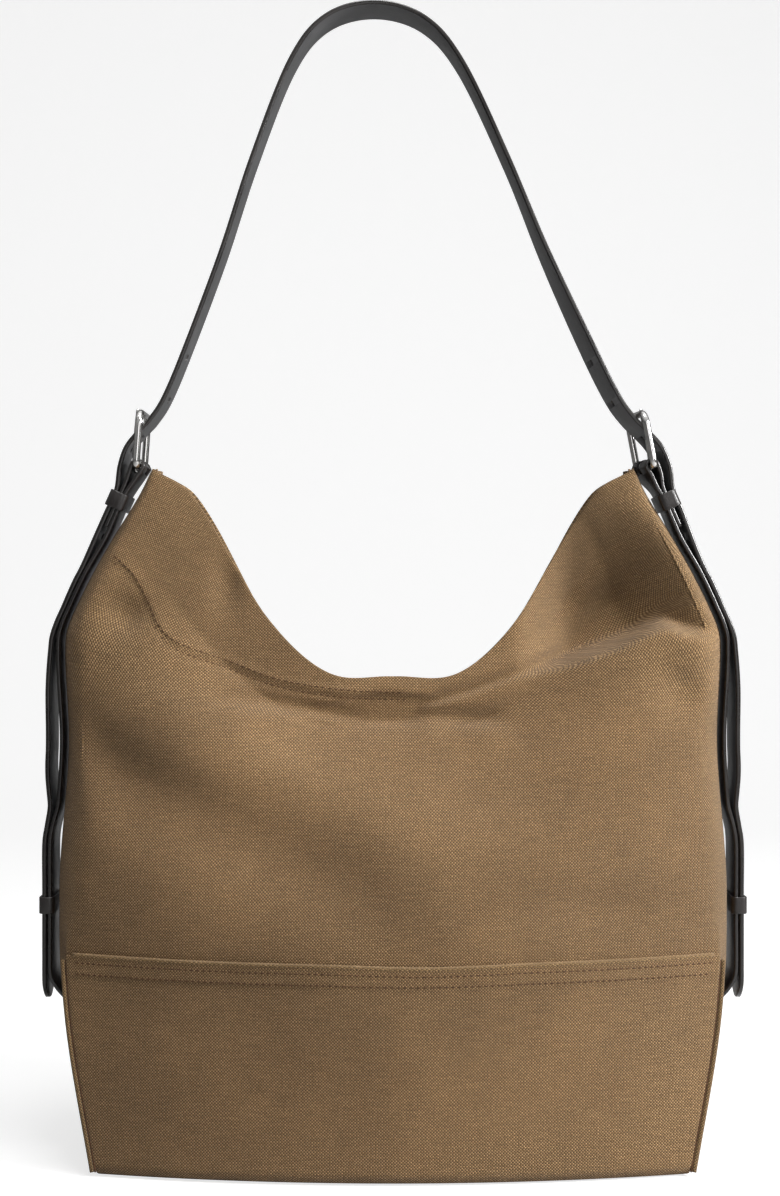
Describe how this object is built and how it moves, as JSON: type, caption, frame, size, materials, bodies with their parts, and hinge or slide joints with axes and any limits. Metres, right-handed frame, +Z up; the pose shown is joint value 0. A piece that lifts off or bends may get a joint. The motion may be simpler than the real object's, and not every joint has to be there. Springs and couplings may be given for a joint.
{
  "type": "hobo bag",
  "caption": "Slouchy canvas hobo bag with a lapped lower band, curved mouth and a buckled leather shoulder strap that runs down both sides.",
  "frame": {"origin": "middle of the base, on the surface that the bag stands on", "axes": "+Z up, -Y the front of the bag, +X the right-hand side as the front is faced"},
  "size_m": [0.398, 0.1556, 0.6503],
  "materials": {
    "canvas": "heavy washed cotton canvas, plain weave",
    "piping": "corded canvas edge",
    "facing_canvas": "heavy cotton canvas, inner side",
    "lining_cloth": "smooth cotton twill",
    "board": "stiff sheet",
    "leather": "smooth bridle leather with painted edges",
    "buckle_metal": "polished dark nickel",
    "zip_metal": "polished nickel",
    "snap_metal": "nickel plate",
    "zip_tape": "woven tape"
  },
  "bodies": {
    "bag_body": {"front_panel": "canvas", "back_panel": "canvas", "left_gusset": "canvas", "right_gusset": "canvas", "front_band": "canvas", "back_band": "canvas", "left_gusset_base": "canvas", "right_gusset_base": "canvas", "bottom_panel": "canvas", "corner_piping": "piping", "base_board": "board", "lining": "lining_cloth", "slip_pocket": "lining_cloth", "zip_pocket_bag": "lining_cloth", "zip_tape": "zip_tape", "zip_teeth": "zip_metal", "left_strap_tail": "leather", "right_strap_tail": "leather", "left_side_strap": "leather", "right_side_strap": "leather"},
    "front_mouth": {"front_mouth_panel": "canvas", "front_facing": "facing_canvas", "snap_stud": "snap_metal", "snap_stud_washer": "snap_metal"},
    "back_mouth": {"back_mouth_panel": "canvas", "back_facing": "facing_canvas", "snap_socket": "snap_metal", "snap_socket_washer": "snap_metal"},
    "handle": {"handle_strap": "leather", "left_buckle_loop": "leather", "right_buckle_loop": "leather"},
    "left_buckle": {"left_buckle_frame": "buckle_metal"},
    "right_buckle": {"right_buckle_frame": "buckle_metal"},
    "left_prong": {"left_buckle_prong": "buckle_metal"},
    "right_prong": {"right_buckle_prong": "buckle_metal"},
    "left_upper_keeper": {"left_upper_keeper": "leather"},
    "right_upper_keeper": {"right_upper_keeper": "leather"},
    "left_lower_keeper": {"left_lower_keeper": "leather"},
    "right_lower_keeper": {"right_lower_keeper": "leather"},
    "zip_slider": {"zip_slider": "zip_metal"},
    "zip_pull": {"zip_pull": "zip_metal"}
  },
  "joints": [
    {"name": "handle_swing", "type": "hinge", "parent": "bag_body", "child": "handle", "pos_m": [0, 0, 0.395], "axis": [1, 0, 0], "range_deg": [-60, 60], "stiffness_Nm_per_rad": 0.25},
    {"name": "left_buckle_tilt", "type": "hinge", "parent": "handle", "child": "left_buckle", "pos_m": [-0.144, 0, 0.388], "axis": [0, -1, 0], "range_deg": [-4, 1]},
    {"name": "right_buckle_tilt", "type": "hinge", "parent": "handle", "child": "right_buckle", "pos_m": [0.144, 0, 0.388], "axis": [-0.1392, 0.9903, 0], "range_deg": [-1, 4]},
    {"name": "left_prong_lift", "type": "hinge", "parent": "left_buckle", "child": "left_prong", "pos_m": [-0.144, 0, 0.388], "axis": [0, -1, 0], "range_deg": [0, 3]},
    {"name": "right_prong_lift", "type": "hinge", "parent": "right_buckle", "child": "right_prong", "pos_m": [0.144, 0, 0.388], "axis": [-0.1392, 0.9903, 0], "range_deg": [0, 3]},
    {"name": "left_upper_keeper_slide", "type": "slide", "parent": "bag_body", "child": "left_upper_keeper", "axis": [-0.4067, 0, -0.9135], "range_m": [0, 0.008]},
    {"name": "right_upper_keeper_slide", "type": "slide", "parent": "bag_body", "child": "right_upper_keeper", "axis": [0.4067, 0, -0.9135], "range_m": [0, 0.008]},
    {"name": "left_lower_keeper_slide", "type": "slide", "parent": "bag_body", "child": "left_lower_keeper", "axis": [0, 0, 1], "range_m": [-0.025, 0.025]},
    {"name": "right_lower_keeper_slide", "type": "slide", "parent": "bag_body", "child": "right_lower_keeper", "axis": [0, 0, 1], "range_m": [-0.025, 0.025]},
    {"name": "front_mouth_open", "type": "hinge", "parent": "bag_body", "child": "front_mouth", "pos_m": [0, -0.0556, 0.1946], "axis": [1, 0, 0], "range_deg": [-4, 25], "stiffness_Nm_per_rad": 0.3},
    {"name": "back_mouth_open", "type": "hinge", "parent": "bag_body", "child": "back_mouth", "pos_m": [0, 0.0556, 0.1926], "axis": [-1, 0, 0], "range_deg": [-4, 25], "stiffness_Nm_per_rad": 0.3},
    {"name": "zip_slide", "type": "slide", "parent": "bag_body", "child": "zip_slider", "axis": [-1, 0, 0], "range_m": [0, 0.11]},
    {"name": "zip_pull_swing", "type": "hinge", "parent": "zip_slider", "child": "zip_pull", "pos_m": [0.0605, 0.0462, 0.16], "axis": [-1, 0, 0], "range_deg": [0, 150]}
  ]
}
